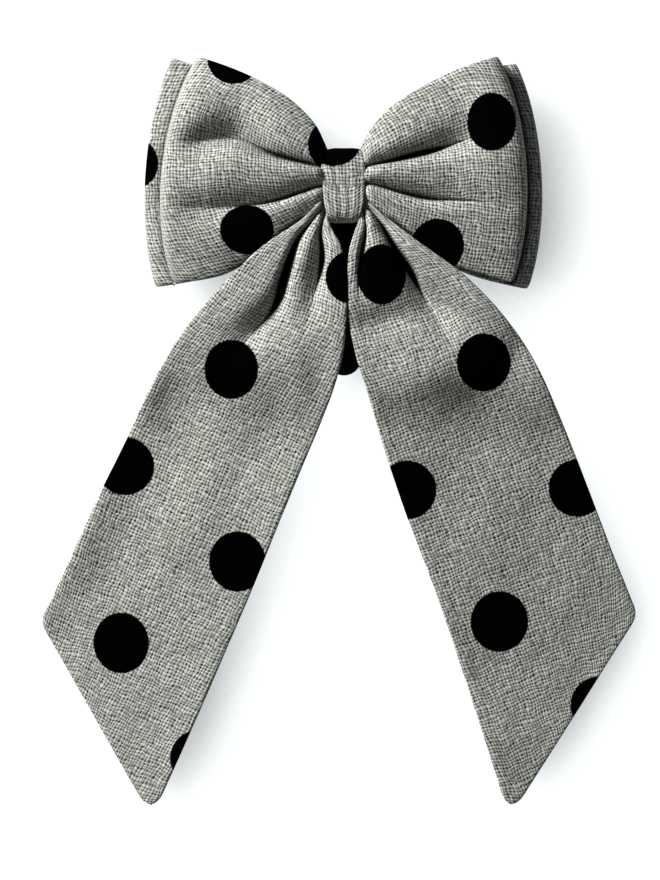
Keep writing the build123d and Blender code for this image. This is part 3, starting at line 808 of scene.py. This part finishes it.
def rear_loop(side, top_corner, bottom_corner, bulge):
    return Loop(
        side=side,
        top=[(5.0, 9.6), (9.0, 17.0), (17.0, 24.0), (28.0, 30.4), (41.0, 36.6), top_corner],
        bottom=[(5.0, -9.0), (11.0, -13.6), (20.0, -19.0), (31.0, -23.8), (43.0, -28.6), bottom_corner],
        bulge=bulge,
        waist=((-15.0, -15.0, -15.0), -10.9),
        crown=(-14.6, -14.9, -14.6),
        hollow=(-5.6, -2.4, -5.0),
        fold=(-12.2, 0.6, 3.6, 0.8),
        creases=REAR_FRONT_CREASES,
        back_creases=REAR_BACK_CREASES,
    )


REAR_RIGHT = rear_loop(1, (54.9, 40.2), (58.7, -32.6), 6.8)
REAR_LEFT = rear_loop(-1, (55.1, 41.9), (60.2, -32.0), 6.2)

# ---------------------------------------------------------------- tails
# Each tail's two edges run from the knot to its end, left and right as the front is seen.
LEFT_TAIL = {
    "left": [
        (-5.6, -3.4), (-13.5, -10.6), (-25, -18.6), (-36, -29), (-45, -38.6), (-53.8, -50),
        (-60.1, -61), (-65.4, -71.4), (-70.4, -82), (-77.9, -97), (-85.1, -112.6), (-91.6, -126.6),
        (-98.2, -139.8),
    ],
    "right": [
        (-5.8, -8.6), (-4.2, -13), (-0.7, -20), (0.9, -30), (0.8, -42), (-0.9, -56),
        (-5.9, -71.8), (-12.7, -88), (-20.2, -106), (-30.1, -130.4), (-40.8, -155.4), (-51.2, -179),
        (-62.2, -203.4),
    ],
    "creases_at": (0.42, 0.76),
    "creases": [[
        (-8, -8.4, 1.8, 1.2, 1.2, 0.9), (-12.8, -13.8, 2.8, 1, 1.6, 1.6), (-17.5, -24.1, 3.4, 1, 2.4, 4.4),
        (-20.4, -34.4, 3.8, 1.5, 2.8, 5.8), (-22, -39.6, 5.2, 4.4, 3.4, 2.4), (-27.9, -45.5, 4.6, 6.4, 4.6, 0),
        (-34, -53, 1.4, 8, 7, 0), (-44, -66, 0.5, 10, 9, 0), (-60, -100, 0, 10, 9, 0),
    ], [
        (-6.3, -9.6, 1.8, 1, 0.8, 0.9), (-7.7, -13.8, 2.8, 1.6, 0.9, 1.6), (-6.7, -21, 4.8, 2.8, 1.1, 3),
        (-7.2, -26, 5.6, 4, 1.5, 3.4), (-8.6, -31, 5, 4.8, 2.4, 0.6), (-10.3, -38, 3, 5, 4, 0),
        (-12, -48, 0.5, 7, 6, 0), (-30, -90, 0, 7, 6, 0),
    ]],
    "corner_at_left": True,
}
RIGHT_TAIL = {
    "left": [
        (5.6, -8.8), (3.7, -13.4), (1.6, -21), (1, -30), (1.5, -42), (3.7, -54),
        (7.4, -66), (12.4, -82.6), (19.6, -104), (28, -126), (36.6, -150.8), (45, -176.6), (53.6, -203.4),
    ],
    "right": [
        (5.6, -3.6), (14.5, -10.6), (25, -18.9), (37, -27.6), (46.4, -36.6), (55.6, -47.6),
        (62.2, -58.6), (67.4, -69.6), (73.2, -83), (79.8, -99.6), (86, -115.8), (90.6, -127), (95, -137.8),
    ],
    "creases_at": (0.16, 0.58),
    "creases": [[
        (6.6, -10, 1.6, 0.7, 0.9, 0.9), (6.7, -14.5, 2.2, 0.7, 1.2, 1.6), (5.7, -20, 2, 0.7, 1.8, 2.6),
        (4.8, -25, 1.5, 0.8, 2.4, 2.2), (4.5, -32, 0.5, 1.2, 3.6, 0.1), (5.4, -42, 0.1, 2.4, 5, 0),
        (9, -56, 0.2, 4, 6, 0), (20, -90, 0, 4, 6, 0),
    ], [
        (8.8, -8.2, 1.8, 1, 1, 0.9), (12, -12.6, 2.8, 1.6, 1, 1.8), (15.6, -19.2, 4, 2.8, 1.2, 3.8),
        (20.2, -25.6, 4.8, 4.6, 1.5, 6), (22.8, -30.8, 6.6, 6, 2.6, 3), (25.8, -36, 8.4, 6.8, 4.6, 0),
        (29.4, -42, 5.6, 7.4, 8.4, 0), (34, -50, 1.2, 8, 9, 0), (50, -90, 0, 8, 8, 0),
    ]],
    "corner_at_left": False,
}
TAIL_WIDTH = 56.0
DRAPE = [  # z and y
    (-2, -22.6), (-9, -23.2), (-13, -25.6), (-18, -27.8), (-38, -28), (-50, -26.8), (-60, -25),
    (-66, -22.8), (-72, -20.4), (-78, -18.4), (-86, -17), (-110, -14.4), (-150, -9.8), (-203, -4.8),
]
TAIL_LEAN = 6.0  # how much further back the outer edge lies than the inner one, lower down
TAIL_SHOULDER = 2.2  # how far the cloth swells forward beside the knot band
CORNER_ROUND = 3.2
TIP_ROUND = 9.0
TAIL_ROWS, TAIL_COLUMNS = 190, 60
DRAPE_EASINGS = 12
SHOULDER_STARTS = (5.0, 8.5)  # to the side, from no shoulder to all of it
SHOULDER_ENDS = (12.0, 20.0)  # from the knot, from all of it to none
LEAN_GROWS = (30.0, 90.0)  # from the knot
TAIL_WAVERS = ((22, 0.7, 0), (7, 0.14, 3))


def round_corner(grid, corner, along_side, along_end, size):
    """Rounds one corner of a panel in the front view, and eases its neighbours in."""
    first, second = ((end - corner) / norm(end - corner) for end in (along_side, along_end))
    away = grid[..., [0, 2]] - corner
    a, b = np.moveaxis(away @ np.linalg.inv(np.stack((first, second))), -1, 0)
    u, v = 1 - a / size, 1 - b / size
    near = (u > 0) & (v > 0)
    u, v = np.clip(u, 0, 1), np.clip(v, 0, 1)
    a2 = size * (1 - u * np.sqrt(1 - v**2 / 2))
    b2 = size * (1 - v * np.sqrt(1 - u**2 / 2))
    moved = corner + a2[..., None] * first + b2[..., None] * second
    grid[..., 0] = np.where(near, moved[..., 0], grid[..., 0])
    grid[..., 2] = np.where(near, moved[..., 1], grid[..., 2])


def make_tail(name, shape, dots, back_dots, ripples, seed):
    left, right = np.array(shape["left"], float), np.array(shape["right"], float)

    def plan(t, w):
        share = np.broadcast_to(w, (len(t), np.shape(w)[-1]))[..., None]
        return through(left, t)[:, None] * (1 - share) + through(right, t)[:, None] * share

    t = even_rows((left, right), TAIL_ROWS, EDGE_STEPS)
    u = columns(TAIL_COLUMNS, TAIL_WIDTH, shape["creases_at"])
    creases = Creases(plan, t, shape["creases"])
    w = creases.shares(u, shape["creases_at"])
    flat = plan(t, w)
    grid = np.stack((flat[..., 0], np.zeros(flat.shape[:2]), flat[..., 1]), axis=2)
    sizes = (CORNER_ROUND, TIP_ROUND) if shape["corner_at_left"] else (TIP_ROUND, CORNER_ROUND)
    round_corner(grid, left[-1], left[-2], right[-1], sizes[0])
    round_corner(grid, right[-1], right[-2], left[-1], sizes[1])

    heights, depths = zip(*DRAPE[::-1])
    grid[..., 1] = np.interp(grid[..., 2], heights, depths)
    for _ in range(DRAPE_EASINGS):
        grid[1:-1, :, 1] = (grid[:-2, :, 1] + grid[2:, :, 1] + 2 * grid[1:-1, :, 1]) / 4
    from_knot = np.hypot(grid[..., 0], grid[..., 2])
    shoulder = TAIL_SHOULDER * smooth(*SHOULDER_STARTS, np.abs(grid[..., 0]))
    grid[..., 1] -= shoulder * (1 - smooth(*SHOULDER_ENDS, from_knot))
    grid[..., 1] += creases.depth(w)
    outward = w if shape["corner_at_left"] else 1 - w  # 0 at the outer edge
    grid[..., 1] += TAIL_LEAN * (0.5 - outward) * smooth(*LEAN_GROWS, from_knot)
    ripple(grid, ripples)
    for size, amount, step in TAIL_WAVERS:
        waver(grid, size, amount, seed + step)
    # The threads are squared up on a row where the tail is straight.
    middle = len(t) * 6 // 10
    axis = left[-2] + right[-2] - left[-6] - right[-6]
    axis = axis / norm(axis)
    along = thread_length(grid, u)
    along += grid[middle][:, [0, 2]] @ axis - along[middle]
    uv = np.stack((along, creases.across(grid, u, shape["creases_at"])), axis=2)
    painted_shade = creases.painted_shade(w)
    marks = {
        "dot_edge": (dot_distance(grid, dots), dot_distance(grid, back_dots)),
        "painted_shade": (painted_shade, np.zeros(painted_shade.shape)),
    }
    return two_ply(name, grid, uv, False, marks)


# ---------------------------------------------------------------- knot band
BAND_FRONT, BAND_BACK, BAND_HALF_HEIGHT, BAND_MIDDLE_Z = -25.8, -8.9, 11.8, 0.3
BAND_SQUARENESS = 5.0
# The band's left and right borders: height and x. It is pinched below, where the tails come out.
BAND_LEFT = [(-11.5, -5.2), (-9.5, -5.8), (-5, -6.7), (1, -7), (8, -7.6), (10.5, -7), (12.1, -5.6)]
BAND_RIGHT = [(-11.5, 4.8), (-9.5, 5.6), (-6, 6.3), (-2, 6.6), (4, 6.9), (10, 6.6), (12.1, 5.6)]
BAND_RIBS = 4
BAND_RIB_HEIGHT = 0.14
BAND_RIBS_END = (11.6, 8.5)  # above and below the middle
BAND_RIB_SWAY = 0.12
BAND_CROWN = 0.6
BAND_WIDTH, BAND_THICKNESS, BAND_SWELL = 14.0, 1.1, 0.05
BAND_ROWS, BAND_COLUMNS = 180, 44


def make_band(name, dots):
    """The band round the knot: a folded strip in soft ribs that is pinched in where it turns over."""
    angle = np.linspace(0, 2 * math.pi, BAND_ROWS, endpoint=False)
    half_depth = (BAND_BACK - BAND_FRONT) / 2
    middle_y = (BAND_BACK + BAND_FRONT) / 2
    c, s = np.cos(angle), np.sin(angle)
    radius = (np.abs(c) ** BAND_SQUARENESS + np.abs(s) ** BAND_SQUARENESS) ** (-1 / BAND_SQUARENESS)
    ring_y = middle_y - half_depth * c * radius
    ring_z = BAND_MIDDLE_Z + BAND_HALF_HEIGHT * s * radius
    w = columns(BAND_COLUMNS, BAND_WIDTH)
    left = eased(np.interp(ring_z, *zip(*BAND_LEFT)), 3)
    right = eased(np.interp(ring_z, *zip(*BAND_RIGHT)), 3)
    x = left[:, None] * (1 - w) + right[:, None] * w
    sway = BAND_RIB_SWAY * np.sin(ring_z / 4)[:, None]
    rib = BAND_RIB_HEIGHT * (np.cos(2 * math.pi * BAND_RIBS * (w + sway * (1 - w))) - 1)
    rib *= smooth(*BAND_RIBS_END, np.abs(ring_z - BAND_MIDDLE_Z))[:, None]
    crown = BAND_CROWN * (1 - (2 * w - 1) ** 4) - BAND_CROWN + rib
    y = ring_y[:, None] - c[:, None] * crown
    z = ring_z[:, None] + s[:, None] * crown
    grid = np.stack((x, y, z), axis=2)
    waver(grid, 5.0, 0.15, 91.0)
    around = thread_length(grid, w)
    uv = np.stack((around, np.broadcast_to(w * BAND_WIDTH, around.shape)), axis=2)
    seen = np.where(grid[..., 1] < middle_y, dot_distance(grid, dots), NO_DOT)
    marks = {"dot_edge": (seen[:, ::-1], np.full(seen.shape, NO_DOT))}
    return two_ply(name, grid[:, ::-1], uv[:, ::-1], True, marks, BAND_THICKNESS, BAND_SWELL)


# ---------------------------------------------------------------- printed dots
# Each is x, z, half width and half height in the front view.
FRONT_BOW_DOTS = [
    (-35.2, 40.5, 8.4, 8.4), (-31, -14, 8.6, 7.8), (-4.9, 12.8, 6.6, 7.6), (46.9, 20, 7.8, 9.3),
    (29.8, -19.2, 8.5, 8.5),
]
BAND_DOTS = [(-3.2, 14.8, 8.8, 8.8)]
REAR_BOW_DOTS = [(-68, 7.7, 8.4, 8.4), (34, 6, 8.6, 8.6), (-26, 22, 8.6, 8.6)]
BOW_BACK_DOTS = [
    (38, 22, 8.6, 9), (-42, 4, 8.6, 9), (30, -18, 8.8, 8.4), (-24, 27, 8.6, 8.6),
    (58, -4, 8.6, 9), (-48, -26, 8.6, 8.6),
]
LEFT_TAIL_DOTS = [
    (2.5, -29.4, 8.4, 8.5), (-35.9, -58.6, 8.6, 9.4), (-70.2, -89.5, 9.3, 9.3),
    (-34.2, -120.1, 9.1, 9.7), (-71.8, -146.5, 9, 9.8), (-47.1, -183.6, 9, 9),
]
RIGHT_TAIL_DOTS = [
    (11.9, -28.5, 7.8, 9.6), (44.5, -56.4, 8.7, 9.2), (20.2, -97.1, 9.4, 9.4),
    (75, -96.5, 9.3, 9.3), (50, -139.5, 9.3, 9.8), (82.4, -166.7, 9.3, 9.3),
]
LEFT_BACK_DOTS = [
    (-22, -40, 8.8, 8.8), (-44, -82, 9, 9.2), (-72, -112, 9, 9),
    (-50, -150, 9.1, 9.4), (-18, -92, 9, 9),
]
RIGHT_BACK_DOTS = [
    (24, -44, 8.8, 8.8), (52, -84, 9, 9.2), (36, -120, 9, 9),
    (76, -132, 9.1, 9.4), (60, -168, 9, 9),
]

# Soft swells and dents, as front-view centre, direction, half length, half width and height.
BOW_RIPPLES = [
    (36, 28.5, -0.7, 8, 4.5, -0.9), (46, 5, 1.4, 12, 6, 0.6), (-42, 5, 1.4, 12, 8, 0.8),
]
LEFT_RIPPLES = [
    (-13, -51, 1.2, 9, 6, 1), (-8, -64, -1.3, 12, 5, -1.2), (-54, -68, -1.1, 14, 8, -1.6),
    (-81, -106, 1.12, 34, 8, 1.7), (-50, -106, 1.12, 34, 9, 1),
]
RIGHT_RIPPLES = [
    (13, -43.5, 0.1, 10, 4.6, -2.4), (54.5, -53.5, 0.95, 14, 8, -2.8), (31, -60, 0.3, 22, 8, 1.9),
]

# ---------------------------------------------------------------- the object
cloth = cloth_material()


def finish_cloth(piece, replaced):
    piece.data.materials.append(cloth)
    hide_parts(*replaced)


# Painted shadow on the front bow along the tails' outer edges.
tail_covers = [(LEFT_TAIL["left"][1:7], 1.7, 0.85), (RIGHT_TAIL["right"][1:7], 1.7, 0.85)]
front_bow = make_bow(
    "front_bow_cloth", FRONT_RIGHT, FRONT_LEFT, FRONT_BOW_DOTS, BOW_BACK_DOTS, BOW_RIPPLES, tail_covers,
    seed=11.0,
)
finish_cloth(front_bow, ["front_bow_face", "front_bow_interfacing", "front_bow_lining"])
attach(front_bow, "bow")

# Painted shadow on the rear bow beside the front loops' folded ends, darker on the right.
loop_covers = [(FRONT_RIGHT.end(), 2.6, 0.85), (FRONT_LEFT.end(), 2.2, 0.45)]
rear_bow = make_bow(
    "rear_bow_cloth", REAR_RIGHT, REAR_LEFT, REAR_BOW_DOTS, BOW_BACK_DOTS, [], loop_covers, seed=37.0
)
finish_cloth(rear_bow, ["rear_bow_face", "rear_bow_interfacing", "rear_bow_lining"])
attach(rear_bow, "bow")

band = make_band("knot_band_cloth", BAND_DOTS)
finish_cloth(band, ["knot_band"])
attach(band, "bow")

for side, shape, dots, back_dots, ripples, seed in (
    ("left", LEFT_TAIL, LEFT_TAIL_DOTS, LEFT_BACK_DOTS, LEFT_RIPPLES, 53.0),
    ("right", RIGHT_TAIL, RIGHT_TAIL_DOTS, RIGHT_BACK_DOTS, RIGHT_RIPPLES, 71.0),
):
    tail = make_tail(f"{side}_tail_cloth", shape, dots, back_dots, ripples, seed)
    plies = [f"{side}_tail_{ply}" for ply in ("face", "interfacing", "lining")]
    finish_cloth(tail, [*plies, "tail_gather"])
    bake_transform(tail)

CARRIED_OVER = {
    "binding_thread": thread_material(),
    "felt_patch": felt_material(),
    "jaw_ribbon": ribbon_material(),
    "grip_strip": rubber_material(),
    "torsion_spring": wire_material(),
}
CARRIED_OVER.update(dict.fromkeys(("outer_jaw", "spring_jaw", "hinge_pin"), painted_steel_material()))
for node, material in CARRIED_OVER.items():
    mesh = nodes[node].data
    mesh.materials.clear()
    mesh.materials.append(material)

# ---------------------------------------------------------------- the studio
add_camera()
wall = ((-1, FLOOR_Z), (1, FLOOR_Z), (1, BACKDROP_TOP), (-1, BACKDROP_TOP))
backdrop = add_plane("backdrop", [(x * BACKDROP_HALF, BACKDROP_Y, z) for x, z in wall])
backdrop.data.materials.append(stage_material("backdrop_paper", 0.04, glow=1.1, one_way=True))
square = ((-1, -1), (1, -1), (1, 1), (-1, 1))
floor = add_plane("floor", [(x * FLOOR_HALF, y * FLOOR_HALF, FLOOR_Z) for x, y in square])
floor.data.materials.append(stage_material("floor_paper", 0.12))

for light in LIGHTS:
    add_area_light(*light)
world = bpy.data.worlds.new("studio")
world.use_nodes = True
world.node_tree.nodes["Background"].inputs["Color"].default_value = WORLD_COLOUR
world.node_tree.nodes["Background"].inputs["Strength"].default_value = WORLD_STRENGTH
bpy.context.scene.world = world
bpy.context.scene.view_settings.view_transform = "Standard"
bpy.context.scene.view_settings.gamma = VIEW_GAMMA
